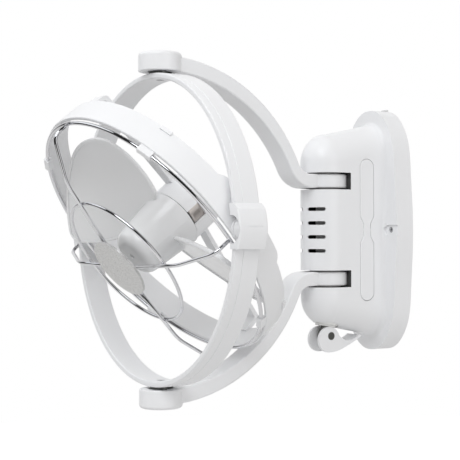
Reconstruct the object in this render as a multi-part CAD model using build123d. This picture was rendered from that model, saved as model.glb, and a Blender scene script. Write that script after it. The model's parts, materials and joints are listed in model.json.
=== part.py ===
from build123d import *
import os
from math import atan2, cos, degrees, pi, radians, sin, sqrt, tan

# A white gimbal wall fan for a cabin. The wall is the plane Y = 0, the fan stands out towards -Y
# and +Z is up. The origin is the middle of the base's back face. Sizes are millimetres and degrees.

# Rest pose
hoop_yaw = 2.0
fan_tilt = 38.8

# Gimbal hoop
hoop_radius = 120.0
hoop_wall = 4.5
hoop_width = 21.0
hoop_front_width = 7.0
hoop_edge_radius = 1.2
seam_depth = 0.35

# Arm
yoke_gap = 1.3
yoke_thickness = 12.5
yoke_inner_drop = 6.0
yoke_width = 22.4
arm_straight = 30.6
knuckle_height = 40.3
knuckle_thickness = 11.6
knuckle_radius = 18.4
yoke_outer_bend = 13.0
yoke_inner_bend = 24.0
yoke_edge_radius = 1.4
eye_radius = 14.2
cap_radius = 16.8
cap_top = 2.9
cap_skin = 1.2
cap_gap = 0.5
cap_edge_radius = 3.0

# Vertical gimbal pivots
stud_shoulder_radius = 8.5
stud_shaft_radius = 4.0
stud_spigot_radius = 3.2
bush_wall = 1.5
bush_flange_radius = 8.6
bush_flange = 1.3
eye_recess_depth = 3.0
eye_recess_radius = 9.6
clip_thickness = 0.9
clip_radius = 6.6
clip_groove = 0.6
stud_tail = 0.35
screw_shaft_radius = 1.5
screw_head_height = 1.8

# Tilt pivots
tilt_shaft_radius = 3.2
tilt_disc_radius = 9.4
tilt_boss_radius = 7.2
tilt_boss_depth = 6.0
tilt_flange = 0.7
tilt_play = 0.35
tilt_head_radius = 6.5
tilt_head_height = 2.4
side_block_width = 24.0
side_block_rise = 14.0
side_block_drop = 13.7
side_block_depth = 7.0
side_block_bulge = 2.7
side_shoulder = 4.3
side_block_edge = 1.4
side_notch_radius = 9.8
side_notch_place = 3.0
side_notch_depth = 5.0
side_line_length = 11.6
side_line_shift = 1.5
side_line_rise = 1.9

# Fan ring
ring_clearance = 2.5
shroud_wall = 2.6
shroud_front = 8.7
shroud_edge = 0.7
shroud_rear = 12.0
shroud_pad_rear = 15.6
shroud_pad_height = 84.0
shroud_pad_corner = 13.0
ring_tab_length = 10.0
ring_tab_rise = 1.2
ring_tab_width = 3.0

# Wire guard
guard_ring_drop = 3.17
guard_ring_front = 11.4
guard_ring_wire = 1.5
guard_mid_step = 53.26
spoke_wire = 1.4
spoke_count = 4
spoke_corner_front = 27.0
spoke_dome_step = 33.83
spoke_dome_front = 40.7
spoke_end_radius = 18.0
spoke_end_front = 43.8
spoke_corner_bend = 9.0
spoke_dome_bend = 40.0
badge_radius = 25.2
badge_thickness = 1.8
badge_crown = 1.2
guard_clip_length = 12.0
guard_clip_wall = 1.1

# Motor and its carrier
motor_radius = 21.6
motor_length = 20.0
motor_cup_wall = 2.0
motor_cup_front = -16.0
motor_floor = 2.5
motor_cover_depth = 6.0
cup_window_width = 12.0
cup_window_length = 13.0
cup_window_turn = 4.0
arm_root_front = 8.0
arm_root_back = 24.5
arm_pod_back = 32.0
arm_crest_bend = 4.0
arm_thickness = 3.2
arm_root_width = 14.0
arm_tip_width = 9.0
motor_shaft_radius = 2.0
bearing_radius = 4.6
bearing_length = 4.0

# Impeller
hub_front = 32.0
hub_front_radius = 19.0
hub_rear = -15.2
hub_rear_radius = 24.6
hub_wall = 2.2
hub_nose_radius = 8.0
hub_boss_radius = 6.0
blade_count = 2
blade_angle = 143.0
blade_pitch = 21.0
blade_tip_gap = 9.2
blade_tip_sweep = 135.8
blade_tip_lead = 9.5
blade_root_low = -30.3
blade_root_high = -1.4
blade_mid_low = -49.2
blade_mid_high = 47.0
blade_tip_low = -8.8
blade_tip_high = 76.0
blade_low_corner = 42.0
blade_high_corner = 10.0
blade_thickness = 1.8
blade_rim_width = 3.0
blade_rim_thickness = 3.4
blade_rim_round = 1.1

# Wall base
hinge_depth = 64.8
casing_half_width = 20.6
casing_wall = 2.5
nose_top = 80.0
casing_top = 89.7
shoulder_radius = 26.0
shoulder_turn = 50.0
flange_depth = 18.2
flange_half_width = 36.4
flange_half_height = 101.8
flange_waist = (33.6, 50.0)
flange_shoulder = (30.2, 75.0)
flange_crown = (22.3, 90.0)
flange_edge_radius = 2.4
junction_radius = 3.5
slot_height = 13.9
slot_back = 11.4
vent_count = 4
vent_pitch = 11.44
vent_height = 3.0
vent_length = 15.8
vent_turn = 32.5
vent_depth = 9.0
shelf_thickness = 2.8
case_screw_offset = 27.4
case_recess_half_height = 4.0
case_recess_inner = 21.0
case_recess_depth = 1.4
case_screw_head_radius = 2.5
case_screw_head_height = 1.6
case_boss_radius = 5.0
plate_thickness = 3.0
plate_clearance = 0.3
plate_rim_step = 0.5
catch_width = 7.0
catch_rise = 1.4
catch_depth = 2.2
catch_gap = 0.3
mount_hole_radius = 2.3
mount_spacing_x = 36.0
mount_spacing_z = 150.0
cable_hole_radius = 6.0
grommet_flange = 2.0
grommet_wall = 3.2

# Button strip
strip_centre_depth = 36.8
strip_half_width = 6.95
strip_half_length = 58.9
waist_half_width = 3.4
waist_half_length = 5.0
waist_taper = 6.0
strip_thickness = 3.0
strip_proud = 0.3
strip_gap = 0.35
strip_travel = 1.0
strip_pivot_radius = 1.2
strip_pivot_bite = 1.6
post_radius = 2.0
post_offset = 50.6
post_length = 2.0
pad_inner = 14.6
board_thickness = 1.6
board_face = 9.6
board_depth = 39.0
board_half_height = 62.0
switch_side = 6.0
switch_height = 3.5
plunger_radius = 1.75

# Clamp under the nose
rod_radius = 4.0
rod_clearance = 0.06
nut_radius = 6.6
nut_height = 5.0
nut_spare = 0.2
nut_headroom = 1.6
saddle_radius = 10.4
saddle_thickness = 1.8
wear_washer_radius = 8.6
wear_washer_thickness = 1.8
seat_cut = 3.2
cam_radius = 10.6
cam_back = 2.0
cam_drop = 3.0
cam_gap = 0.12
cheek_thickness = 2.2
cheek_gap = 12.0
lever_pin_radius = 3.3
rod_eye_radius = 5.6
lever_length = 31.4
lever_tip_drop = 0.9
lever_lip_reach = 28.6
lever_valley_reach = 15.5
lever_valley_drop = 4.2
lever_belly_reach = 16.1
lever_belly_drop = 9.0
lever_floor = 2.4
knuckle_room = 0.5
knuckle_washer_radius = 13.0
knuckle_washer = 1.0
spine_radius = 8.0

running_gap = 0.05

# Derived sizes
hoop_inner = hoop_radius - hoop_wall
yoke_inner = hoop_radius + yoke_gap
yoke_outer = yoke_inner + yoke_thickness
knuckle_top = knuckle_height + knuckle_thickness / 2
arm_length = sqrt(yoke_outer**2 - knuckle_top**2) + arm_straight
reach = arm_length + hinge_depth
shroud_radius = hoop_inner - ring_clearance
casing_slope = degrees(atan2(casing_top - nose_top, hinge_depth - flange_depth))
shroud_inner = shroud_radius - shroud_wall
tilt_face = sqrt(hoop_inner**2 - tilt_boss_radius**2) - tilt_flange - tilt_play
guard_ring_radius = shroud_radius - guard_ring_drop
guard_mid_radius = guard_ring_radius - guard_mid_step
spoke_dome_radius = guard_ring_radius - spoke_dome_step
spoke_slope = (spoke_end_front - spoke_dome_front) / (spoke_dome_radius - spoke_end_radius)
guard_mid_front = (
    spoke_dome_front + (spoke_dome_radius - guard_mid_radius) * spoke_slope - 2 * spoke_wire - 0.03
)
blade_reach = shroud_inner - blade_tip_gap
motor_back = motor_cup_front - motor_length - 1.5
cup_radius = motor_radius + 0.3 + motor_cup_wall
strip_face = casing_half_width + strip_proud
strip_back = strip_face - strip_thickness
strip_floor = strip_back - strip_travel - 0.2
strip_pivot_x = strip_back + 0.5 * strip_thickness
chamber_floor = knuckle_height + slot_height / 2 + shelf_thickness
cam_draw = cam_back + cam_drop + (cam_back - cam_drop) * tan(radians(casing_slope))
nut_travel = cam_draw + nut_spare
nut_level = chamber_floor + nut_travel
seat_level = -nose_top + seat_cut
stack_bottom = seat_level - (saddle_thickness + wear_washer_thickness) / cos(radians(casing_slope))
cam_level = (
    stack_bottom
    + cam_back * tan(radians(casing_slope))
    - (cam_radius + cam_gap) / cos(radians(casing_slope))
)
pin_level = cam_level + cam_drop


def rod_between(radius, start, end):
    """A round bar from one point to another."""
    line = Vector(*end) - Vector(*start)
    plane = Plane(origin=start, z_dir=line)
    return extrude(plane * Circle(radius), line.length)


def washer(outer, inner, low, high):
    """A round ring about Z between two heights."""
    ring = Circle(outer)
    if inner:
        ring -= Circle(inner)
    return Pos(0, 0, low) * extrude(ring, high - low)


def turned(points, axis=Axis.Y):
    """A solid of revolution about the Y axis from radius and forward pairs."""
    outline = [(radius, -forward) for radius, forward in points]
    return revolve(make_face(Polyline(*outline, close=True)), axis)


def along_x(shape):
    """Turns a shape made about Z so that its axis is X."""
    return Rot(0, 90, 0) * shape


def to_gimbal(shape):
    return Pos(0, -reach, 0) * shape


def to_hoop(shape):
    return Pos(0, -reach, 0) * Rot(0, 0, hoop_yaw) * shape


def to_head(shape):
    return Pos(0, -reach, 0) * Rot(0, 0, hoop_yaw) * Rot(fan_tilt, 0, 0) * shape


def to_hinge(shape):
    return Pos(0, -hinge_depth, 0) * shape


# Wall base


def nose_curve(half_width, top):
    """The right half of the casing's cross-section, from its bottom to its top."""
    turn = radians(shoulder_turn)
    side = top - shoulder_radius * sin(turn)
    crown = (half_width - shoulder_radius * (1 - cos(turn))) / cos(turn)
    side -= crown * (1 - sin(turn))
    knee = (half_width - shoulder_radius * (1 - cos(turn)), side + shoulder_radius * sin(turn))
    bend = (half_width - shoulder_radius * (1 - cos(turn / 2)), side + shoulder_radius * sin(turn / 2))
    high = radians((shoulder_turn + 90) / 2)
    arch = (crown * cos(high), top - crown + crown * sin(high))
    upper = ThreePointArc((half_width, side), bend, knee) + ThreePointArc(knee, arch, (0, top))
    lower = upper.mirror(Plane.XZ)
    return upper + lower + Line((half_width, -side), (half_width, side))


def nose_section(half_width, top, depth):
    """The casing's whole cross-section, standing across Y at a depth from the wall."""
    right = nose_curve(half_width, top)
    outline = right + right.mirror(Plane.YZ)
    return Plane(origin=(0, -depth, 0), x_dir=(1, 0, 0), z_dir=(0, -1, 0)) * make_face(outline)


def nose_block(inset):
    """The round nose and the body behind it, all drawn in by an inset."""
    half_width = casing_half_width - inset
    top = nose_top - inset
    half = make_face(nose_curve(half_width, top) + Line((0, top), (0, -top)))
    nose = to_hinge(revolve(Plane.XZ * half, Axis.Z))
    front = nose_section(half_width, top, hinge_depth)
    rear = nose_section(half_width, casing_top - inset, flange_depth - inset)
    return nose + loft([front, rear], ruled=True)


def flange_outline(inset):
    """The tall oval outline of the base, drawn in by an inset."""
    wide = (flange_half_width - inset) / flange_half_width
    tall = (flange_half_height - inset) / flange_half_height
    corners = [flange_waist, flange_shoulder, flange_crown]
    points = [(x * wide, z * tall) for x, z in corners]
    side = (flange_half_width - inset, 0)
    top = (0, flange_half_height - inset)
    quarter = Spline(side, *points, top, tangents=[(0, 1), (-1, 0)])
    half = quarter + quarter.mirror(Plane.XZ)
    return make_face(half + half.mirror(Plane.YZ))


def flange_block(inset, front, back):
    """The flange between two depths from the wall."""
    plane = Plane(origin=(0, -back, 0), x_dir=(1, 0, 0), z_dir=(0, -1, 0))
    return extrude(plane * flange_outline(inset), front - back)


def strip_outline(grow):
    """The button strip's outline: two round-ended pads joined by a waist."""
    half = strip_half_width + grow
    waist = waist_half_width + grow
    flat = strip_half_length - strip_half_width
    taper = waist_half_length + waist_taper
    right = Polyline((0, waist), (waist_half_length, waist), (taper, half), (flat, half))
    end = ThreePointArc((flat, half), (flat + half, 0), (flat, -half))
    quarter = make_face(right + end + right.mirror(Plane.XZ) + Line((0, -waist), (0, waist)))
    return quarter + quarter.mirror(Plane.YZ)


def strip_plane(level):
    """A plane on the near side of the casing, its x along Z."""
    return Plane(origin=(level, -strip_centre_depth, 0), x_dir=(0, 0, 1), z_dir=(1, 0, 0))


def strip_pivot(radius, bite):
    reach_out = waist_half_width + strip_gap + bite
    start = (strip_pivot_x, -strip_centre_depth - reach_out, 0)
    end = (strip_pivot_x, -strip_centre_depth + reach_out, 0)
    return rod_between(radius, start, end)


def button_strip():
    pad = extrude(strip_plane(strip_back) * strip_outline(0), strip_thickness)
    pad = fillet(pad.faces().sort_by(Axis.X)[-1].edges(), 0.6)
    strip = pad + strip_pivot(strip_pivot_radius, strip_pivot_bite)
    for height in (-post_offset, post_offset):
        start = (strip_back - post_length, -strip_centre_depth, height)
        strip += rod_between(post_radius, start, (strip_back + 1, -strip_centre_depth, height))
    return strip


def arm_slot(level):
    """The slot round the nose that the arm swings in, its pocket open to the hollow casing."""
    wide = 4 * casing_half_width
    front = wide + slot_back
    block = Pos(0, slot_back - front / 2, level) * Box(wide, front, slot_height)
    pocket = Pos(0, 0, level) * Cylinder(knuckle_radius + knuckle_room, slot_height)
    depth = knuckle_radius + knuckle_room + shelf_thickness + 1 - slot_back
    rear = Pos(0, slot_back + depth / 2, level) * Box(2 * pad_inner - 1, depth, slot_height)
    return to_hinge(block + pocket + rear)


def knuckle_housing(level):
    """The solid drum inside the casing that a knuckle's pocket is cut from."""
    radius = knuckle_radius + knuckle_room + shelf_thickness
    return to_hinge(Pos(0, 0, level) * Cylinder(radius, slot_height + 2 * shelf_thickness))


def vents():
    """Short level slots on both front quarters of the nose."""
    cutters = []
    for side in (-1, 1):
        for index in range(vent_count):
            level = (index - (vent_count - 1) / 2) * vent_pitch
            turn = radians(side * vent_turn)
            outward = Vector(sin(turn), -cos(turn), 0)
            start = outward * (casing_half_width - vent_depth) + Vector(0, -hinge_depth, level)
            plane = Plane(origin=start, x_dir=(cos(turn), sin(turn), 0), z_dir=outward)
            cutters.append(extrude(plane * SlotOverall(vent_length, vent_height), vent_depth + 4))
    return cutters


def case_screw_recess(side):
    """The bay on the flange's front that a casing screw sits in, open to the rim."""
    length = flange_half_width - case_recess_inner + 4
    bay = Pos(side * (case_recess_inner + length / 2 + case_recess_half_height), 0, 0)
    block = bay * Box(length, 4 * case_recess_depth, 2 * case_recess_half_height)
    end = Rot(90, 0, 0) * Cylinder(case_recess_half_height, 4 * case_recess_depth)
    end = Pos(side * (case_recess_inner + case_recess_half_height), 0, 0) * end
    return Pos(0, -flange_depth - case_recess_depth, 0) * (block + end)


def case_screw(side):
    """One casing screw, with its head down in the flange."""
    head_top = flange_depth - case_recess_depth - 0.6
    x = side * case_screw_offset
    under = head_top - case_screw_head_height
    head = rod_between(case_screw_head_radius, (x, -under, 0), (x, -head_top, 0))
    shaft = rod_between(screw_shaft_radius, (x, -plate_thickness, 0), (x, -under, 0))
    socket = rod_between(1.1, (x, -head_top + 0.8, 0), (x, -head_top - 1, 0))
    return head + shaft - socket


def seat_plane(level):
    """The slanted plane under the nose, square to the casing's lower edge."""
    slope = radians(casing_slope)
    down = Vector(0, -sin(slope), -cos(slope))
    return Plane(origin=(0, -hinge_depth, level), x_dir=(1, 0, 0), z_dir=down)


def nut_chamber():
    """The room above the upper slot that the clamp nut moves in, open to the rear."""
    floor = chamber_floor
    height = nut_travel + nut_height + nut_headroom
    length = 2 * knuckle_radius
    block = Pos(0, length / 2, floor + height / 2) * Box(2 * nut_radius + 0.6, length, height)
    round_end = Pos(0, 0, floor + height / 2) * Cylinder(nut_radius + 0.3, height)
    return to_hinge(block + round_end)


def casing_shell():
    """The whole outside of the casing, with a soft rim and a soft foot round the nose."""
    body = nose_block(0) + flange_block(0, flange_depth, plate_rim_step)
    level = [f for f in body.faces().filter_by(Plane.XZ) if abs(f.center().Y + flange_depth) < 0.01]
    rim = level[0].outer_wire().edges()
    foot = level[0].inner_wires()[0].edges()
    body = fillet(rim, flange_edge_radius)
    return fillet(foot, junction_radius)


def catch_block(gap):
    """The tab at the top of the wall plate that the casing hooks over, grown by a gap."""
    low = flange_half_height - 3 * casing_wall
    high = flange_half_height + catch_rise + gap
    size = Box(catch_width + 2 * gap, catch_depth + gap, high - low)
    return Pos(0, -(catch_depth + gap) / 2, (low + high) / 2) * size


def base_casing():
    inner = flange_block(casing_wall, flange_depth - casing_wall, 0)
    cavity = nose_block(casing_wall)
    far = 2 * hinge_depth
    behind = to_hinge(Pos(0, slot_back + shelf_thickness + far / 2, 0) * Box(far, far, 2 * casing_top))
    middle_height = 2 * (knuckle_height - slot_height / 2 - shelf_thickness)
    middle = to_hinge(Box(far, 2 * far, middle_height))
    casing = casing_shell() - inner - (cavity & behind) - (cavity & middle)
    for level in (-knuckle_height, knuckle_height):
        casing += knuckle_housing(level) & nose_block(1)
    casing -= to_hinge(Cylinder(spine_radius + running_gap, 2 * knuckle_height))
    pad = Box(casing_half_width - 1 - pad_inner, 2 * strip_half_width + 6, 2 * strip_half_length + 6)
    pad = Pos((casing_half_width - 1 + pad_inner) / 2, -strip_centre_depth, 0) * pad
    casing += pad & nose_block(1)
    casing -= extrude(strip_plane(strip_floor) * strip_outline(strip_gap), 10)
    casing -= strip_pivot(strip_pivot_radius + running_gap, strip_pivot_bite + 0.2)
    for height in (-post_offset, post_offset):
        hole_end = (strip_face, -strip_centre_depth, height)
        casing -= rod_between(post_radius + 0.6, (pad_inner - 3, -strip_centre_depth, height), hole_end)
    for level in (-knuckle_height, knuckle_height):
        casing -= arm_slot(level)
    casing -= vents()
    casing -= nut_chamber()
    for side in (-1, 1):
        x = side * case_screw_offset
        top = flange_depth - case_recess_depth
        casing += rod_between(case_boss_radius, (x, -top / 2 - 2, 0), (x, -top + 0.1, 0))
        casing -= case_screw_recess(side)
        casing -= rod_between(screw_shaft_radius, (x, 0, 0), (x, -top, 0))
        seat = top - 0.6 - case_screw_head_height
        casing -= rod_between(case_screw_head_radius, (x, -seat, 0), (x, -top - 1, 0))
    casing -= extrude(seat_plane(seat_level) * Circle(saddle_radius + 0.3), casing_half_width)
    casing -= catch_block(catch_gap)
    return casing - to_hinge(washer(rod_radius + rod_clearance, 0, -casing_top, chamber_floor + 1))


def wall_plate():
    plate = flange_block(casing_wall + plate_clearance, plate_thickness, 0) + catch_block(0)
    for x in (-mount_spacing_x / 2, mount_spacing_x / 2):
        for z in (-mount_spacing_z / 2, mount_spacing_z / 2):
            plate -= rod_between(mount_hole_radius, (x, 1, z), (x, -plate_thickness - 1, z))
    plate -= rod_between(cable_hole_radius, (0, 1, 0), (0, -plate_thickness - 1, 0))
    top = flange_depth - case_recess_depth
    for side in (-1, 1):
        x = side * case_screw_offset
        boss = rod_between(case_boss_radius, (x, -plate_thickness + 0.1, 0), (x, -top / 2 - 2, 0))
        plate += boss
        plate -= rod_between(screw_shaft_radius, (x, -plate_thickness, 0), (x, -top, 0))
    for z in (-40, 40):
        for x in (board_face - board_thickness - 1.6, board_face + 1.6):
            plate += Pos(x, -plate_thickness - 4, z) * Box(3, 8.2, 14)
    board_slot = Box(board_thickness + 0.2, 9, 2 * board_half_height)
    plate -= Pos(board_face - board_thickness / 2, -plate_thickness - 4.5, 0) * board_slot
    return plate


def cable_grommet():
    front = plate_thickness + 1.5
    body = rod_between(cable_hole_radius, (0, 0, 0), (0, -front, 0))
    lip = rod_between(cable_hole_radius + grommet_flange, (0, -plate_thickness, 0), (0, -front, 0))
    bore = rod_between(cable_hole_radius - grommet_wall, (0, 1, 0), (0, -front - 1, 0))
    return body + lip - bore


def circuit_board():
    middle = plate_thickness + board_depth / 2
    size = Box(board_thickness, board_depth, 2 * board_half_height)
    return Pos(board_face - board_thickness / 2, -middle, 0) * size


def push_switches():
    bodies = []
    tip = strip_back - post_length - strip_travel - 0.1
    for height in (-post_offset, post_offset):
        place = Pos(board_face + switch_height / 2, -strip_centre_depth, height)
        box = place * Box(switch_height, switch_side, switch_side)
        start = (board_face + switch_height - 0.5, -strip_centre_depth, height)
        bodies.append(box + rod_between(plunger_radius, start, (tip, -strip_centre_depth, height)))
    return Compound(children=bodies)


def saddle_plate():
    ring = Circle(saddle_radius) - Circle(rod_radius + 1.2)
    return extrude(seat_plane(seat_level) * ring, saddle_thickness)


def wear_washer():
    ring = Circle(wear_washer_radius) - Circle(rod_radius + 1.2)
    shift = saddle_thickness / cos(radians(casing_slope))
    return extrude(seat_plane(seat_level - shift) * ring, wear_washer_thickness)


def clamp_rod():
    top = nut_level + nut_height + nut_headroom / 2
    bar = Pos(0, 0, (top + pin_level) / 2) * Cylinder(rod_radius, top - pin_level)
    eye = lever_axis_bar(rod_eye_radius, 2 * rod_radius)
    return to_hinge(bar) + eye - lever_axis_bar(lever_pin_radius, 4 * rod_radius)


def lever_axis_bar(radius, length):
    start = (-length / 2, -hinge_depth, pin_level)
    return rod_between(radius, start, (length / 2, -hinge_depth, pin_level))


def lever_pin():
    return lever_axis_bar(lever_pin_radius, cheek_gap + 2 * cheek_thickness)


def clamp_nut():
    hexagon = RegularPolygon(nut_radius, 6) - Circle(rod_radius)
    return to_hinge(Pos(0, 0, nut_level) * extrude(hexagon, nut_height))


def cam_lever():
    """Two round cheeks beside the rod and a spoon-shaped tail that sweeps up to the wall."""
    plane = Plane(origin=(0, -hinge_depth, pin_level), x_dir=(0, 1, 0), z_dir=(1, 0, 0))
    cam = Pos(-cam_back, -cam_drop) * Circle(cam_radius)
    lip = (lever_lip_reach, 0)
    tip = (lever_length, -lever_tip_drop)
    neck = (-cam_back + cam_radius * cos(pi / 4), -cam_drop + cam_radius * sin(pi / 4))
    valley = (lever_valley_reach, -lever_valley_drop)
    belly = (lever_belly_reach, -lever_belly_drop)
    foot = (-cam_back, -cam_drop - cam_radius)
    top = Spline(neck, valley, lip, tangents=[(0.5, -1), (1, 0.8)])
    under = Spline(tip, belly, foot, tangents=[(-1, -0.7), (-1, 0)])
    tail = make_face(top + Line(lip, tip) + under + Polyline(foot, (-cam_back, 0), neck))
    width = cheek_gap + 2 * cheek_thickness
    whole = extrude(plane * (cam + tail), width / 2, both=True)
    hollow = Pos(-lever_floor, lever_floor) * tail + Pos(-cam_back, 0) * Rectangle(
        2 * (cam_back + rod_eye_radius), 4 * cam_radius
    )
    lever = whole - extrude(plane * (cam + hollow), cheek_gap / 2, both=True)
    return lever - lever_axis_bar(lever_pin_radius + running_gap, 2 * width)


# Arm


side_plane = Plane(origin=(0, 0, 0), x_dir=(0, 1, 0), z_dir=(1, 0, 0))


def arc_from_top(radius, middle, end):
    """An arc that starts straight above its centre, at a height, and runs to an end point."""
    half = (atan2(end[1] - middle, end[0]) + pi / 2) / 2
    bend = (radius * cos(half), middle + radius * sin(half))
    return ThreePointArc((0, middle + radius), bend, end)


def yoke_profile():
    """The upper arm's side outline, its x towards the wall and its y up, thinner at the bend."""
    knuckle_low = knuckle_height - knuckle_thickness / 2
    inner_radius = yoke_inner + yoke_inner_drop
    outer_end = (sqrt(yoke_outer**2 - knuckle_top**2), knuckle_top)
    inner_end = (sqrt(inner_radius**2 - (knuckle_low + yoke_inner_drop) ** 2), knuckle_low)
    outer = arc_from_top(yoke_outer, 0, outer_end)
    inner = arc_from_top(inner_radius, -yoke_inner_drop, inner_end)
    end = Polyline(outer_end, (arm_length, knuckle_top), (arm_length, knuckle_low), inner_end)
    face = make_face(outer + end + inner + Line((0, yoke_inner), (0, yoke_outer)))
    bends = face.vertices()
    outer_bend = [v for v in bends if abs(v.X - outer_end[0]) < 0.01 and v.Y > knuckle_height]
    face = fillet(outer_bend, yoke_outer_bend)
    inner_bend = [v for v in face.vertices() if abs(v.X - inner_end[0]) < 0.01 and v.Y < knuckle_height]
    return fillet(inner_bend, yoke_inner_bend)


def half_yoke():
    band = extrude(side_plane * yoke_profile(), yoke_width / 2, both=True)
    sides = [e for e in band.edges() if abs(abs(e.center().X) - yoke_width / 2) < 0.01]
    long_edges = [e for e in sides if e.length > yoke_width]
    band = fillet(long_edges, yoke_edge_radius)
    disc = Pos(0, arm_length, knuckle_height) * Cylinder(knuckle_radius, knuckle_thickness)
    disc = fillet(disc.edges().filter_by(GeomType.CIRCLE), yoke_edge_radius)
    eye = washer(eye_radius, 0, yoke_inner + cap_gap, yoke_outer)
    half = band + disc + eye
    half -= Pos(0, arm_length, knuckle_height) * Cylinder(spine_radius, 2 * knuckle_thickness)
    half -= washer(stud_shaft_radius + running_gap + bush_wall, 0, yoke_inner - 5, yoke_outer + 5)
    half -= washer(eye_recess_radius, 0, yoke_inner - 5, yoke_inner + eye_recess_depth)
    return half


def arm_spine():
    """The tube inside the nose that both knuckles are pressed on, round the clamp rod."""
    return to_hinge(washer(spine_radius, rod_radius + running_gap, -knuckle_top, knuckle_top))


def knuckle_washers():
    """Thin washers on both faces of both knuckles."""
    rings = []
    for level in (-knuckle_height, knuckle_height):
        for side in (-1, 1):
            middle = level + side * (knuckle_thickness + slot_height) / 4
            low = middle - knuckle_washer / 2
            rings.append(washer(knuckle_washer_radius, spine_radius + 0.3, low, low + knuckle_washer))
    return to_hinge(Compound(children=rings))


def yoke_cap():
    seat = yoke_outer
    low = yoke_inner + cap_gap
    body = washer(cap_radius, 0, low, seat + cap_top)
    body = fillet(body.edges().sort_by(Axis.Z)[-1], cap_edge_radius)
    body = fillet(body.edges().sort_by(Axis.Z)[0], 1.0)
    body -= washer(eye_radius + running_gap, 0, low - 1, seat)
    body -= washer(clip_radius + 1, 0, seat - 1, seat + cap_top - cap_skin)
    return body - extrude(side_plane * yoke_profile(), yoke_width / 2 + running_gap, both=True)


def gimbal_bush():
    top_recess = yoke_inner + eye_recess_depth
    inner = stud_shaft_radius + running_gap
    sleeve = washer(inner + bush_wall, inner, top_recess - bush_flange, yoke_outer)
    return sleeve + washer(bush_flange_radius, inner, top_recess - bush_flange, top_recess)


def gimbal_stud():
    shoulder_top = yoke_inner + eye_recess_depth - bush_flange - running_gap
    shoulder = washer(stud_shoulder_radius, 0, hoop_inner, shoulder_top)
    shoulder -= Rot(90, 0, 0) * Cylinder(hoop_radius, 4 * stud_shoulder_radius)
    spigot = washer(stud_spigot_radius, 0, hoop_inner + screw_head_height, shoulder_top)
    groove_low = yoke_outer + running_gap
    groove_high = groove_low + clip_thickness
    shaft = washer(stud_shaft_radius, 0, shoulder_top - 1, groove_high + stud_tail)
    groove = washer(2 * stud_shaft_radius, stud_shaft_radius - clip_groove, groove_low, groove_high)
    bore = washer(screw_shaft_radius, 0, hoop_inner, shoulder_top)
    return shoulder + spigot + shaft - groove - bore


def gimbal_clip():
    low = yoke_outer + running_gap
    return washer(clip_radius, stud_shaft_radius - clip_groove, low, low + clip_thickness)


def gimbal_screw():
    head_top = hoop_inner + screw_head_height
    shoulder_top = yoke_inner + eye_recess_depth - bush_flange - running_gap
    head = washer(stud_spigot_radius, 0, hoop_inner + 0.3, head_top)
    shaft = washer(screw_shaft_radius, 0, head_top, shoulder_top)
    socket = washer(1.2, 0, hoop_inner - 1, hoop_inner + 1.1)
    return head + shaft - socket


# Hoop


def hoop_shell(front, back):
    """One turned shell of the hoop between two places along its width."""
    profile = Pos((hoop_radius + hoop_inner) / 2, (front + back) / 2) * Rectangle(hoop_wall, back - front)
    outside = hoop_width / 2
    corners = [v for v in profile.vertices() if abs(abs(v.Y) - outside) < 0.01]
    profile = fillet(corners, hoop_edge_radius)
    outer = [v for v in profile.vertices() if abs(v.X - hoop_radius) < 0.01]
    seam = [v for v in outer if outside - abs(v.Y) > 1.2 * hoop_edge_radius]
    profile = chamfer(seam, seam_depth)
    shell = revolve(profile, Axis.Y)
    for turn in (0, 180):
        shell -= Rot(turn, 0, 0) * washer(stud_spigot_radius, 0, hoop_inner - 5, hoop_radius + 5)
    for turn in (-90, 90):
        shell -= Rot(0, turn, 0) * washer(tilt_shaft_radius, 0, hoop_inner - 5, hoop_radius + 5)
    scoop = pivot_scoop()
    return shell - scoop - scoop.mirror(Plane.YZ)


def pivot_scoop():
    """The round cut in front of a tilt pivot that leaves its drum standing, on the +X side."""
    front = -side_block_width / 2 - 1
    back = -side_block_width / 2 + side_notch_depth
    cut = Rot(90, 0, 0) * Cylinder(side_notch_radius, back - front)
    cut = Pos(hoop_radius - side_notch_place, (front + back) / 2, 0) * cut
    return cut - along_x(washer(tilt_disc_radius, 0, 0, 2 * hoop_radius))


def side_block():
    """A bulged cover that wraps the hoop over a tilt pivot, made on the +X side."""
    outer = hoop_radius + side_block_depth
    edge = outer - side_block_bulge
    crest = side_block_rise + side_shoulder
    bulge = ThreePointArc((edge, side_block_rise), (outer, 0), (edge, -side_block_drop))
    inner = hoop_inner - side_block_depth
    rest = Polyline(
        (edge, -side_block_drop),
        (inner, -side_block_drop),
        (inner, crest),
        (sqrt(hoop_radius**2 - crest**2), crest),
        (edge, side_block_rise),
    )
    plane = Plane(origin=(0, 0, 0), x_dir=(1, 0, 0), z_dir=(0, -1, 0))
    block = extrude(plane * make_face(bulge + rest), side_block_width / 2, both=True)
    block = fillet(block.edges().filter_by(GeomType.CIRCLE), side_block_edge)
    block -= Rot(90, 0, 0) * Cylinder(hoop_radius, hoop_width)
    block -= Rot(90, 0, 0) * Cylinder(hoop_inner, 2 * side_block_width)
    block -= pivot_scoop()
    head = washer(tilt_head_radius + 0.3, 0, hoop_radius - 3, hoop_radius + tilt_head_height)
    block -= along_x(head)
    line = Pos(outer, side_line_shift, side_line_rise) * Box(0.7, side_line_length, 0.5)
    return block - line


def tilt_stud():
    """Pivot screw through the hoop into the fan ring's boss, made on the +X side."""
    inner_end = tilt_face - tilt_boss_depth - 2.2
    shaft = washer(tilt_shaft_radius, 0, inner_end, hoop_radius + 0.5)
    head = washer(tilt_head_radius, 0, hoop_radius, hoop_radius + tilt_head_height)
    groove_high = tilt_face - tilt_boss_depth - running_gap
    inner = tilt_shaft_radius - clip_groove
    groove = washer(2 * tilt_shaft_radius, inner, groove_high - clip_thickness, groove_high)
    return along_x(shaft + head - groove)


def tilt_clip():
    high = tilt_face - tilt_boss_depth - running_gap
    return along_x(washer(clip_radius - 1, tilt_shaft_radius - clip_groove, high - clip_thickness, high))


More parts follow.
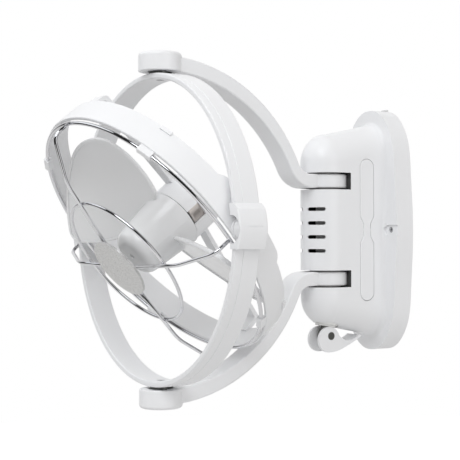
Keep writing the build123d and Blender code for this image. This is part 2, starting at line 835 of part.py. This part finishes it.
def tilt_bush():
    inner = tilt_shaft_radius + running_gap
    sleeve = washer(inner + bush_wall, inner, tilt_face - tilt_boss_depth, tilt_face)
    return along_x(sleeve + washer(tilt_boss_radius, inner, tilt_face, tilt_face + tilt_flange))


# Fan head


def drum(radius, low, high, bore=0):
    """A round piece about the fan's axis between two places along it, forward positive."""
    return turned([(bore, low), (radius, low), (radius, high), (bore, high)])


def spider_arm():
    """One narrow rear arm from inside the ring over a round crest to the cup, made at the top."""
    crest = sqrt(shroud_radius**2 - arm_root_back**2)
    root = shroud_inner + shroud_wall / 2
    pod = cup_radius - motor_cup_wall / 2
    line = FilletPolyline(
        (root, -arm_root_front),
        (crest, -arm_root_back),
        (pod, -arm_pod_back),
        radius=arm_crest_bend,
    )
    inner = FilletPolyline(
        (root - arm_thickness, -arm_root_front),
        (crest - arm_thickness, -arm_root_back + arm_thickness),
        (pod, -arm_pod_back + arm_thickness),
        radius=arm_crest_bend / 2,
    )
    ends = Line(line @ 1, inner @ 1) + Line(inner @ 0, line @ 0)
    plane = Plane(origin=(0, 0, 0), x_dir=(0, 0, 1), z_dir=(1, 0, 0))
    strip = extrude(plane * make_face(line + inner + ends), arm_root_width / 2, both=True)
    plan = Polyline(
        (-arm_root_width / 2, root),
        (arm_root_width / 2, root),
        (arm_tip_width / 2, 0),
        (-arm_tip_width / 2, 0),
        close=True,
    )
    depth = motor_length - motor_back
    front = Plane(origin=(0, depth, 0), x_dir=(1, 0, 0), z_dir=(0, -1, 0))
    return strip & extrude(front * make_face(plan), 2 * depth)


def motor_cup():
    """The round cup that holds the motor, with a window on each side."""
    cup = cup_radius
    wall = drum(cup, motor_back, motor_cup_front, cup - motor_cup_wall)
    floor = drum(cup, motor_back - motor_floor, motor_back, bearing_radius + 3)
    length = 2 * cup_window_length
    windows = Rot(0, cup_window_turn, 0) * Box(4 * cup, length, cup_window_width)
    return wall - Pos(0, -motor_cup_front, 0) * windows + floor


def ring_tab():
    """A low rib on the ring's outside at its rear edge, made on the +X side."""
    inner = shroud_radius - shroud_wall / 2
    outer = shroud_radius + ring_tab_rise
    middle = Pos((inner + outer) / 2, shroud_rear - ring_tab_width / 2)
    turn = degrees(ring_tab_length / shroud_radius)
    return Rot(0, -turn / 2, 0) * revolve(middle * Rectangle(outer - inner, ring_tab_width), Axis.Y, turn)


def shroud_ring():
    """The fan ring with the discs and bosses of its tilt pivots."""
    ring = drum(shroud_radius, -shroud_rear, shroud_front, shroud_inner)
    ring = fillet(ring.edges().group_by(Axis.Y)[0], shroud_edge)
    pad_length = shroud_pad_rear + shroud_front
    pad = RectangleRounded(pad_length, shroud_pad_height, shroud_pad_corner * 0.8)
    pads = Plane.YZ * Pos(shroud_pad_rear - pad_length / 2, 0) * pad
    pads = extrude(pads, 2 * shroud_radius, both=True)
    ring += drum(shroud_radius, -shroud_pad_rear, -1, shroud_inner) & pads
    tab = ring_tab()
    ring += [Rot(0, 45 + 90 * index, 0) * tab for index in range(4)]
    for turn in (-90, 90):
        disc = washer(tilt_disc_radius, 0, shroud_radius - shroud_wall / 2, tilt_face)
        boss = washer(tilt_boss_radius, 0, tilt_face - tilt_boss_depth, tilt_face)
        ring += Rot(0, turn, 0) * (fillet(disc.edges().sort_by(Axis.Z)[-1], 0.8) + boss)
    return ring - along_x(Cylinder(tilt_shaft_radius + running_gap + bush_wall, 3 * shroud_radius))


def motor_spider(ring):
    """The motor cup with its two rear arms, seated on the ring."""
    spider = motor_cup()
    for turn in (0, 180):
        spider += Rot(0, turn, 0) * spider_arm()
    return spider - ring


def guard_clip():
    """A hook on the ring's front face that holds the outer wire, made on the +X side."""
    inside = guard_ring_radius - guard_ring_wire - guard_clip_wall
    outside = shroud_radius - shroud_edge
    front = guard_ring_front + guard_ring_wire + guard_clip_wall
    middle = Pos((inside + outside) / 2, -(front + shroud_front) / 2)
    profile = middle * Rectangle(outside - inside, front - shroud_front)
    seat = profile.vertices().sort_by(lambda v: v.Y + v.X)[-1]
    corners = [v for v in profile.vertices() if v != seat]
    profile = fillet(corners, guard_clip_wall * 0.8)
    profile -= Pos(guard_ring_radius, -guard_ring_front) * Circle(guard_ring_wire)
    turn = degrees(guard_clip_length / guard_ring_radius)
    return Rot(0, -turn / 2, 0) * revolve(profile, Axis.Y, turn)


def spoke():
    """One bent wire from the outer ring over the middle ring to the badge, made on the +X side."""
    path = FilletPolyline(
        (guard_ring_radius, -guard_ring_front),
        (guard_ring_radius, -spoke_corner_front),
        (spoke_dome_radius, -spoke_dome_front),
        (spoke_end_radius, -spoke_end_front),
        radius=(spoke_corner_bend, spoke_dome_bend),
    )
    start = Plane(origin=(guard_ring_radius, -guard_ring_front, 0), z_dir=(0, -1, 0))
    return sweep(start * Circle(spoke_wire), path)


def guard_ring():
    """The outer wire ring that the hooks hold in front of the fan ring."""
    return Pos(0, -guard_ring_front, 0) * Rot(90, 0, 45) * Torus(guard_ring_radius, guard_ring_wire)


def guard_inner_ring():
    """The small wire ring welded behind the spokes."""
    return Pos(0, -guard_mid_front, 0) * Rot(90, 0, 45) * Torus(guard_mid_radius, spoke_wire)


def guard_spokes():
    """The bent spokes, each welded to the outer ring."""
    wire = spoke() - guard_ring()
    turns = [index * 360 / spoke_count for index in range(spoke_count)]
    return Compound(children=[Rot(0, turn, 0) * wire for turn in turns])


def guard_badge():
    """A crowned disc that lies on the spokes' ends."""
    back = spoke_end_front + spoke_wire + 0.1
    top = back + badge_thickness + badge_crown
    crown_radius = (badge_radius**2 + badge_crown**2) / (2 * badge_crown)
    crown = Pos(0, crown_radius - top, 0) * Rot(90, 0, 0) * Sphere(crown_radius)
    return drum(badge_radius, back, top) & crown


def motor_can():
    front = motor_cup_front - 1.5
    can = drum(motor_radius, motor_back, front)
    can = fillet(can.edges().sort_by(Axis.Y)[0], 2)
    can -= drum(motor_shaft_radius + 0.6, motor_back - 1, front + 1)
    for low in (motor_back, front - bearing_length):
        can -= drum(bearing_radius, low, low + bearing_length)
    return can


def motor_bearings():
    front = motor_cup_front - 1.5
    inner = motor_shaft_radius + running_gap
    rings = []
    for low in (motor_back, front - bearing_length):
        rings.append(drum(bearing_radius, low, low + bearing_length, inner))
    return Compound(children=rings)


def motor_cover():
    """The round rear cap of the motor cup, seated on the cup's floor."""
    front = motor_back - motor_floor
    back = front - motor_cover_depth
    cap = turned([(0, front), (cup_radius - 1, front), (cup_radius - 3, back), (0, back)])
    cap = fillet(cap.edges().sort_by(Axis.Y)[-1], 2.5)
    hollow = cup_radius - 6
    return cap - turned([(0, front + 1), (hollow, front + 1), (hollow - 1.5, back + 2), (0, back + 2)])


def motor_shaft():
    low = motor_back - motor_floor + 0.5
    return rod_between(motor_shaft_radius, (0, -low, 0), (0, -(hub_front - hub_wall - 2), 0))


def hub_cone(inset, rear):
    """The hub's tapered drum with its round nose, drawn in by an inset."""
    front = hub_front - inset
    outline = [(0, rear), (hub_rear_radius - inset, rear), (hub_front_radius - inset, front), (0, front)]
    cone = turned(outline)
    nose = cone.edges().filter_by(GeomType.CIRCLE).sort_by(Axis.Y)[0]
    return fillet(nose, hub_nose_radius - inset)


def blade_outline(inset):
    """A wide paddle drawn in by an inset, its x out from the hub and its y along the chord."""
    root = hub_front_radius / 2
    end = 1.2 * blade_reach
    first = (root, blade_root_low + inset)
    last = (end, blade_tip_low + inset)
    low = ThreePointArc(first, (end / 2, blade_mid_low + inset), last)
    top = (end, blade_tip_high - inset)
    start = (root, blade_root_high - inset)
    high = ThreePointArc(top, (end / 2, blade_mid_high - inset), start)
    tip = Pos(blade_reach - blade_tip_sweep, blade_tip_lead) * Circle(blade_tip_sweep - inset)
    paddle = make_face(low + Line(last, top) + high + Line(start, first)) & tip
    tips = paddle.vertices().filter_by(lambda v: v.X > blade_reach / 2).sort_by(Axis.Y)
    paddle = fillet(tips[0], blade_low_corner - inset)
    return fillet(paddle.vertices().sort_by(Axis.Y)[-1], blade_high_corner - inset)


def blade():
    """A pitched paddle with a thick round rim, its root left inside the hub."""
    paddle = extrude(blade_outline(0), blade_rim_thickness / 2, both=True)
    top = paddle.faces().sort_by(Axis.Z)
    rims = [e for face in (top[0], top[-1]) for e in face.edges() if e.center().X > hub_front_radius]
    paddle = fillet(rims, blade_rim_round)
    pocket = extrude(blade_outline(blade_rim_width), blade_rim_thickness)
    paddle -= Pos(0, 0, blade_thickness / 2) * pocket
    paddle -= Pos(0, 0, -blade_thickness / 2 - blade_rim_thickness) * pocket
    return Rot(0, -blade_angle, 0) * Rot(90 + blade_pitch, 0, 0) * paddle


def impeller():
    hub = hub_cone(0, hub_rear)
    paddle = blade()
    for index in range(blade_count):
        hub += Rot(0, index * 360 / blade_count, 0) * paddle
    hub -= hub_cone(hub_wall, hub_rear - 1)
    hub += drum(hub_boss_radius, 0, hub_front - 1)
    hub -= motor_shaft()
    dimple = Pos(0, -hub_front, 0) * Sphere(2.2)
    return hub - dimple


def four_clips():
    clip = guard_clip()
    return Compound(children=[Rot(0, 45 + 90 * index, 0) * clip for index in range(4)])


def both_ends(shape):
    """The same piece at the top and at the bottom."""
    return Compound(children=[shape, shape.mirror(Plane.XY)])


def both_sides(shape):
    """The same piece on the near side and on the far side."""
    return Compound(children=[shape, shape.mirror(Plane.YZ)])


def build():
    seam = hoop_front_width - hoop_width / 2
    half = half_yoke()
    cap = yoke_cap()
    bush = gimbal_bush()
    stud = gimbal_stud()
    block = side_block()
    pivot = tilt_stud()
    ring = shroud_ring()
    return {
        "wall_plate": wall_plate(),
        "base_casing": base_casing(),
        "cable_grommet": cable_grommet(),
        "circuit_board": circuit_board(),
        "push_switches": push_switches(),
        "case_screws": Compound(children=[case_screw(-1), case_screw(1)]),
        "button_strip": button_strip(),
        "saddle_plate": saddle_plate(),
        "wear_washer": wear_washer(),
        "knuckle_washers": knuckle_washers(),
        "clamp_rod": clamp_rod(),
        "clamp_nut": clamp_nut(),
        "lever_pin": lever_pin(),
        "cam_lever": cam_lever(),
        "yoke_upper": to_gimbal(half),
        "yoke_lower": to_gimbal(half.mirror(Plane.XY)),
        "arm_spine": arm_spine(),
        "yoke_cap_upper": to_gimbal(cap),
        "yoke_cap_lower": to_gimbal(cap.mirror(Plane.XY)),
        "gimbal_bush_upper": to_gimbal(bush),
        "gimbal_bush_lower": to_gimbal(bush.mirror(Plane.XY)),
        "gimbal_stud_upper": to_hoop(stud),
        "gimbal_stud_lower": to_hoop(stud.mirror(Plane.XY)),
        "gimbal_clips": to_hoop(both_ends(gimbal_clip())),
        "gimbal_screws": to_hoop(both_ends(gimbal_screw())),
        "hoop_front_shell": to_hoop(hoop_shell(-hoop_width / 2, seam)),
        "hoop_rear_shell": to_hoop(hoop_shell(seam, hoop_width / 2)),
        "side_block_near": to_hoop(block),
        "side_block_far": to_hoop(block.mirror(Plane.YZ)),
        "tilt_stud_near": to_hoop(pivot),
        "tilt_stud_far": to_hoop(pivot.mirror(Plane.YZ)),
        "tilt_clips": to_hoop(both_sides(tilt_clip())),
        "tilt_bushes": to_head(both_sides(tilt_bush())),
        "shroud_ring": to_head(ring),
        "motor_spider": to_head(motor_spider(ring)),
        "guard_clips": to_head(four_clips()),
        "guard_ring": to_head(guard_ring()),
        "guard_inner_ring": to_head(guard_inner_ring()),
        "guard_spokes": to_head(guard_spokes()),
        "guard_badge": to_head(guard_badge()),
        "motor_can": to_head(motor_can()),
        "motor_bearings": to_head(motor_bearings()),
        "motor_cover": to_head(motor_cover()),
        "motor_shaft": to_head(motor_shaft()),
        "impeller": to_head(impeller()),
    }


def main():
    os.makedirs("parts", exist_ok=True)
    for name, shape in build().items():
        export_step(shape, f"parts/{name}.step")
        print(name, round(shape.volume))


main()
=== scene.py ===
import json
import math

import bmesh
import bpy
from mathutils import Matrix, Vector


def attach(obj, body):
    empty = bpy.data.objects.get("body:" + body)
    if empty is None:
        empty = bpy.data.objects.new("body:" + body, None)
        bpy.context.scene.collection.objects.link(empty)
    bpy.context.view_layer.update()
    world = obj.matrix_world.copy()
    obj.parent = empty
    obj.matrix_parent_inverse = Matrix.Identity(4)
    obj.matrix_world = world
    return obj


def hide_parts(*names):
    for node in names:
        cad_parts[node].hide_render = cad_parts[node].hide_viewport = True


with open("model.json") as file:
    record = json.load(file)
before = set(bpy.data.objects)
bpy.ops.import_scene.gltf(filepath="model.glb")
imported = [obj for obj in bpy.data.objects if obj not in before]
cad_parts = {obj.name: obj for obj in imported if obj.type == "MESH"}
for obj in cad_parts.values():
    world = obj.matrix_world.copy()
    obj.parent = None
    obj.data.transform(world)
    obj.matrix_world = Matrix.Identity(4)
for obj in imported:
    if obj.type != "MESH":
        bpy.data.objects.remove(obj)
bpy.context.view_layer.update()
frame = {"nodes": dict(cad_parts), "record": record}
nodes = frame["nodes"]

# The photograph's camera, solved from the hoop, the arm and the base.
camera_azimuth = 58.456
camera_elevation = -0.234
camera_roll = -0.174
camera_place = (0.8465, -0.6778, -0.004)
lens = 97.6

# The fan head's frame, and the sizes of its wires in it, in metres.
head_reach = 0.221007
head_yaw = 2.0
head_tilt = 38.8
ring_radius = 0.10983
ring_front = 0.0114
ring_wire = 0.0015
spoke_wire = 0.0014
spoke_corner_front = 0.027
spoke_dome = (0.0760, 0.0407)
spoke_end = (0.018, 0.0438)
spoke_bends = (0.009, 0.040)
spoke_count = 4
small_ring_radius = 0.05657
small_ring_front = 0.03891
wire_step = 0.0006
wire_sides = 20
least_arc_steps = 6

# The hollow of the base's nose, in metres, round the arm's hinge, whose inner faces get a near
# black painted shade.
hinge_depth = 0.0648
hollow_half_width = 0.0192
hollow_half_height = 0.060
hollow_back = 0.045

# The room: strengths of its light from below and above, and the cards beside it.
room_levels = (0.17, 0.86)
card_axis = (-0.852, 0.523, 0.12)
card_edge = (0.55, 0.8)
card_levels = (0.03, 1.0)
floor_level = -0.42
floor_radius = 1.8
floor_steps = 96
floor_lift = 0.72
floor_colour = (0.68, 0.68, 0.68)

# The lamps: where they aim, and the slightly cool light of the two above.
lamp_aim = (0.0, -0.15, 0.0)
cool_light = (0.95, 0.975, 1.0)
room_colour = (1.0, 0.985, 0.965)

# The grain of the finishes, in waves a metre, and the part of a noise that is used.
gloss_grain = 40.0
sparkle_grain = 1800.0
noise_band = (0.3, 0.7)


def principled(name, colour, roughness):
    """A new material with a Principled shader, its nodes and its links."""
    material = bpy.data.materials.new(name)
    material.use_nodes = True
    tree = material.node_tree
    shader = tree.nodes["Principled BSDF"]
    shader.inputs["Base Color"].default_value = (*colour, 1)
    shader.inputs["Roughness"].default_value = roughness
    return material, tree, shader


def noise(tree, scale, detail=3.0):
    """A noise texture on the object's own coordinates."""
    place = tree.nodes.new("ShaderNodeTexCoord")
    texture = tree.nodes.new("ShaderNodeTexNoise")
    texture.inputs["Scale"].default_value = scale
    texture.inputs["Detail"].default_value = detail
    tree.links.new(place.outputs["Object"], texture.inputs["Vector"])
    return texture


def mapped(tree, value, source, target):
    """A value carried from one range to another."""
    node = tree.nodes.new("ShaderNodeMapRange")
    node.inputs["From Min"].default_value = source[0]
    node.inputs["From Max"].default_value = source[1]
    node.inputs["To Min"].default_value = target[0]
    node.inputs["To Max"].default_value = target[1]
    tree.links.new(value, node.inputs["Value"])
    return node.outputs["Result"]


def spread(tree, texture, low, high):
    """Maps a texture's grey to a narrow range of values."""
    return mapped(tree, texture.outputs["Fac"], noise_band, (low, high))


def bump(tree, shader, texture, strength, distance):
    """A fine relief from a texture's grey."""
    node = tree.nodes.new("ShaderNodeBump")
    node.inputs["Strength"].default_value = strength
    node.inputs["Distance"].default_value = distance
    tree.links.new(texture.outputs["Fac"], node.inputs["Height"])
    tree.links.new(node.outputs["Normal"], shader.inputs["Normal"])


def moulded(name, colour, roughness, grain=2200.0, depth=0.00002, strength=0.15):
    """Moulded plastic: a fine skin and a slight change of gloss."""
    material, tree, shader = principled(name, colour, roughness)
    skin = noise(tree, grain)
    bump(tree, shader, skin, strength, depth)
    cloud = spread(tree, noise(tree, gloss_grain), roughness - 0.03, roughness + 0.03)
    tree.links.new(cloud, shader.inputs["Roughness"])
    return material


def metal(name, colour, roughness, grain=900.0):
    """Bare metal with a slight change of polish."""
    material, tree, shader = principled(name, colour, roughness)
    shader.inputs["Metallic"].default_value = 1.0
    cloud = spread(tree, noise(tree, grain), roughness * 0.8, roughness * 1.25)
    tree.links.new(cloud, shader.inputs["Roughness"])
    return material


def badge_finish():
    """Silvered plastic: half metal, with a fine sparkle in its gloss."""
    material, tree, shader = principled("silvered badge", (0.66, 0.66, 0.655), 0.26)
    shader.inputs["Metallic"].default_value = 0.55
    cloud = spread(tree, noise(tree, sparkle_grain), 0.22, 0.34)
    tree.links.new(cloud, shader.inputs["Roughness"])
    return material


def make_materials():
    white = (0.82, 0.825, 0.84)
    return {
        "white_plastic": moulded("white plastic", white, 0.32),
        "button_plastic": moulded("button plastic", white, 0.36),
        "plate_plastic": moulded("plate plastic", (0.70, 0.70, 0.70), 0.5),
        "blade_plastic": moulded("blade plastic", (0.80, 0.805, 0.815), 0.16, 900.0, 0.00001, 0.08),
        "bearing_plastic": moulded("bearing plastic", (0.76, 0.76, 0.75), 0.42),
        # Near black painted shade for the nose's inner faces, standing in for the shadow in its
        # deep slots.
        "painted_hollow_shade": moulded("nose painted shade", (0.05, 0.05, 0.05), 0.6),
        "wire_chrome": metal("polished wire", (0.80, 0.80, 0.82), 0.06),
        "badge_silver": badge_finish(),
        "steel": metal("turned steel", (0.20, 0.20, 0.19), 0.38),
        "screw_steel": metal("screw steel", (0.42, 0.42, 0.43), 0.32),
        "motor_steel": metal("motor steel", (0.66, 0.61, 0.58), 0.34),
        "grommet_rubber": moulded("grommet rubber", (0.03, 0.03, 0.03), 0.7),
        "board_laminate": moulded("board laminate", (0.03, 0.12, 0.05), 0.45),
        "switch_plastic": moulded("switch plastic", (0.03, 0.03, 0.03), 0.4),
    }


def dress_nodes(materials):
    """Gives every node the material of its slot in the record."""
    for part in frame["record"]["subparts"]:
        mesh = nodes[part["node"]].data
        mesh.materials.clear()
        mesh.materials.append(materials[part["material_slot"]])


def in_hollow(place):
    """Whether a place is inside the nose, behind its skin."""
    forward = -place.y - hinge_depth
    reach = math.hypot(place.x, max(forward, 0))
    tall = abs(place.z) < hollow_half_height
    return tall and -place.y > hollow_back and reach < hollow_half_width


def paint_hollow_shade(materials):
    """Paints the casing's inner faces near black: painted shade standing in for the shadow in the
    deep slots.
    """
    mesh = nodes["base_casing"].data
    mesh.materials.append(materials["painted_hollow_shade"])
    for face in mesh.polygons:
        # Faces inside the nose get the near black painted shade.
        if in_hollow(face.center):
            face.material_index = 1


def head_frame():
    """The fan head's place at rest: x along its tilt axis, -y forward."""
    turn = Matrix.Rotation(math.radians(head_yaw), 4, "Z")
    tip = Matrix.Rotation(math.radians(head_tilt), 4, "X")
    return Matrix.Translation((0, -head_reach, 0)) @ turn @ tip


def rounded_path(corners, bends):
    """Points along straight runs joined by arcs, one bend for each inner corner."""
    points = [corners[0]]
    for index, bend in enumerate(bends, 1):
        before, here, after = corners[index - 1:index + 2]
        back = (before - here).normalized()
        ahead = (after - here).normalized()
        half = back.angle(ahead) / 2
        centre = here + (back + ahead).normalized() * (bend / math.sin(half))
        first = here + back * (bend / math.tan(half)) - centre
        last = here + ahead * (bend / math.tan(half)) - centre
        steps = max(least_arc_steps, int(bend * (math.pi - 2 * half) / wire_step))
        arc = [bend * first.slerp(last, step / steps) for step in range(steps + 1)]
        points += [centre + reach for reach in arc]
    return points + [corners[-1]]


def circle_path(radius, front):
    """Points round a circle about the fan's axis."""
    steps = int(2 * math.pi * radius / (2 * wire_step))
    turns = [2 * math.pi * step / steps for step in range(steps)]
    return [Vector((radius * math.cos(t), -front, radius * math.sin(t))) for t in turns]


def tube(shape, path, radius, closed):
    """Adds a round wire along a flat path to a mesh under way."""
    count = len(path)
    normal = (path[count // 3] - path[0]).cross(path[2 * count // 3] - path[0]).normalized()
    rings = []
    for index, point in enumerate(path):
        before = path[index - 1] if closed or index else point
        after = path[(index + 1) % count] if closed or index < count - 1 else point
        side = (after - before).normalized().cross(normal)
        ring = []
        for number in range(wire_sides):
            turn = 2 * math.pi * number / wire_sides
            offset = math.cos(turn) * side + math.sin(turn) * normal
            ring.append(shape.verts.new(point + radius * offset))
        rings.append(ring)
    spans = zip(rings, rings[1:] + rings[:1]) if closed else zip(rings, rings[1:])
    for low, high in spans:
        for number in range(wire_sides):
            after = (number + 1) % wire_sides
            shape.faces.new((low[number], low[after], high[after], high[number]))
    if not closed:
        shape.faces.new(list(reversed(rings[0])))
        shape.faces.new(rings[-1])


def wire_piece(name, shape, material, node):
    """Makes a wire of a mesh under way, riding on the head in a node's place."""
    bmesh.ops.transform(shape, matrix=head_frame(), verts=shape.verts)
    bmesh.ops.recalc_face_normals(shape, faces=shape.faces)
    mesh = bpy.data.meshes.new(name)
    shape.to_mesh(mesh)
    shape.free()
    mesh.materials.append(material)
    for face in mesh.polygons:
        face.use_smooth = len(face.vertices) == 4
    piece = bpy.data.objects.new(name, mesh)
    bpy.context.scene.collection.objects.link(piece)
    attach(piece, "head")
    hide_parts(node)


def wire_ring(name, radius, front, wire, material, node):
    """A closed ring of wire about the fan's axis."""
    shape = bmesh.new()
    tube(shape, circle_path(radius, front), wire, True)
    wire_piece(name, shape, material, node)


def spoke_path():
    """The line of the first spoke, from the outer ring to the badge."""
    corners = [
        Vector((ring_radius, -ring_front, 0)),
        Vector((ring_radius, -spoke_corner_front, 0)),
        Vector((spoke_dome[0], -spoke_dome[1], 0)),
        Vector((spoke_end[0], -spoke_end[1], 0)),
    ]
    return rounded_path(corners, spoke_bends)


def make_wires(materials):
    """Smooth drawn wires in the place of the guard's three wire nodes."""
    chrome = materials["wire_chrome"]
    wire_ring("outer_wire", ring_radius, ring_front, ring_wire, chrome, "guard_ring")
    inner = (small_ring_radius, small_ring_front, spoke_wire)
    wire_ring("inner_wire", *inner, chrome, "guard_inner_ring")
    shape = bmesh.new()
    for number in range(spoke_count):
        turn = Matrix.Rotation(2 * math.pi * number / spoke_count, 3, "Y")
        tube(shape, [turn @ point for point in spoke_path()], spoke_wire, False)
    wire_piece("spoke_wires", shape, chrome, "guard_spokes")


def add_strengths(tree, first, second):
    """The sum of two light-path outputs, at most 1."""
    node = tree.nodes.new("ShaderNodeMath")
    node.operation = "ADD"
    node.use_clamp = True
    tree.links.new(first, node.inputs[0])
    tree.links.new(second, node.inputs[1])
    return node.outputs["Value"]


def room_light(tree, place):
    """Pale surroundings, brighter above and a little warm."""
    split = tree.nodes.new("ShaderNodeSeparateXYZ")
    tree.links.new(place, split.inputs["Vector"])
    room = tree.nodes.new("ShaderNodeBackground")
    room.inputs["Color"].default_value = (*room_colour, 1)
    level = mapped(tree, split.outputs["Z"], (-1, 1), room_levels)
    tree.links.new(level, room.inputs["Strength"])
    return room.outputs["Background"]


def studio_cards(tree, place):
    """White behind the fan and darker cards elsewhere, as polished metal shows them."""
    along = tree.nodes.new("ShaderNodeVectorMath")
    along.operation = "DOT_PRODUCT"
    along.inputs[1].default_value = card_axis
    tree.links.new(place, along.inputs[0])
    cards = tree.nodes.new("ShaderNodeBackground")
    level = mapped(tree, along.outputs["Value"], card_edge, card_levels)
    tree.links.new(level, cards.inputs["Strength"])
    return cards.outputs["Background"]


def make_world():
    """Pale surroundings with a white background and dark cards at the sides."""
    world = bpy.data.worlds.new("studio")
    bpy.context.scene.world = world
    world.use_nodes = True
    tree = world.node_tree
    tree.nodes.clear()
    out = tree.nodes.new("ShaderNodeOutputWorld")
    path = tree.nodes.new("ShaderNodeLightPath")
    place = tree.nodes.new("ShaderNodeTexCoord").outputs["Generated"]
    back = tree.nodes.new("ShaderNodeBackground")
    back.inputs["Color"].default_value = (1, 1, 1, 1)
    back.inputs["Strength"].default_value = 1.0
    shown = tree.nodes.new("ShaderNodeMixShader")
    tree.links.new(path.outputs["Is Glossy Ray"], shown.inputs["Fac"])
    tree.links.new(room_light(tree, place), shown.inputs[1])
    tree.links.new(studio_cards(tree, place), shown.inputs[2])
    seen = tree.nodes.new("ShaderNodeMixShader")
    straight = add_strengths(
        tree, path.outputs["Is Camera Ray"], path.outputs["Is Transmission Ray"]
    )
    tree.links.new(straight, seen.inputs["Fac"])
    tree.links.new(shown.outputs["Shader"], seen.inputs[1])
    tree.links.new(back.outputs["Background"], seen.inputs[2])
    tree.links.new(seen.outputs["Shader"], out.inputs["Surface"])


def area_light(name, place, size, power, colour=(1, 1, 1)):
    """A round lamp that shines at the middle of the fan."""
    data = bpy.data.lights.new(name, "AREA")
    data.shape = "DISK"
    data.size = size
    data.energy = power
    data.color = colour
    lamp = bpy.data.objects.new(name, data)
    bpy.context.scene.collection.objects.link(lamp)
    lamp.location = place
    aim = Vector(lamp_aim) - Vector(place)
    lamp.rotation_euler = aim.to_track_quat("-Z", "Y").to_euler()


def make_lights():
    """A large key lamp in front, one above the fan head and a weak fill."""
    area_light("key lamp", (0.75, -1.15, 1.15), 1.1, 11, cool_light)
    area_light("top lamp", (-0.75, -1.0, 0.95), 1.3, 4.5, cool_light)
    area_light("fill lamp", (1.6, 0.2, 0.3), 1.2, 4)


def make_floor():
    """A pale round floor that shows white and keeps the shadow of the fan."""
    mesh = bpy.data.meshes.new("floor")
    shape = bmesh.new()
    bmesh.ops.create_circle(
        shape, cap_ends=True, segments=floor_steps, radius=floor_radius
    )
    shape.to_mesh(mesh)
    shape.free()
    floor = bpy.data.objects.new("floor", mesh)
    bpy.context.scene.collection.objects.link(floor)
    floor.location = (0, 0, floor_level)
    material, tree, shader = principled("pale floor", floor_colour, 0.9)
    shader.inputs["Specular IOR Level"].default_value = 0.0
    path = tree.nodes.new("ShaderNodeLightPath")
    lift = tree.nodes.new("ShaderNodeEmission")
    seen = add_strengths(
        tree, path.outputs["Is Camera Ray"], path.outputs["Is Transmission Ray"]
    )
    tree.links.new(mapped(tree, seen, (0, 1), (0, floor_lift)), lift.inputs["Strength"])
    both = tree.nodes.new("ShaderNodeAddShader")
    tree.links.new(shader.outputs["BSDF"], both.inputs[0])
    tree.links.new(lift.outputs["Emission"], both.inputs[1])
    tree.links.new(both.outputs["Shader"], tree.nodes["Material Output"].inputs["Surface"])
    mesh.materials.append(material)


def make_camera():
    """The photograph's camera, from its angles, its place and its lens."""
    azimuth = math.radians(camera_azimuth)
    elevation = math.radians(camera_elevation)
    roll = math.radians(camera_roll)
    back = Vector((
        math.sin(azimuth) * math.cos(elevation),
        -math.cos(azimuth) * math.cos(elevation),
        math.sin(elevation),
    ))
    right = Vector((math.cos(azimuth), math.sin(azimuth), 0))
    up = back.cross(right)
    level = math.cos(roll) * right + math.sin(roll) * up
    upright = -math.sin(roll) * right + math.cos(roll) * up
    data = bpy.data.cameras.new("camera")
    data.sensor_width = 36
    data.sensor_fit = "HORIZONTAL"
    data.lens = lens
    data.clip_start = 0.05
    camera = bpy.data.objects.new("camera", data)
    bpy.context.scene.collection.objects.link(camera)
    turn = Matrix((level, upright, back)).transposed().to_4x4()
    camera.matrix_world = Matrix.Translation(camera_place) @ turn
    bpy.context.scene.camera = camera


def main():
    materials = make_materials()
    dress_nodes(materials)
    # Painted shade on the inner faces of the nose.
    paint_hollow_shade(materials)
    make_wires(materials)
    make_world()
    make_lights()
    make_floor()
    make_camera()
    bpy.context.scene.view_settings.view_transform = "Standard"


main()
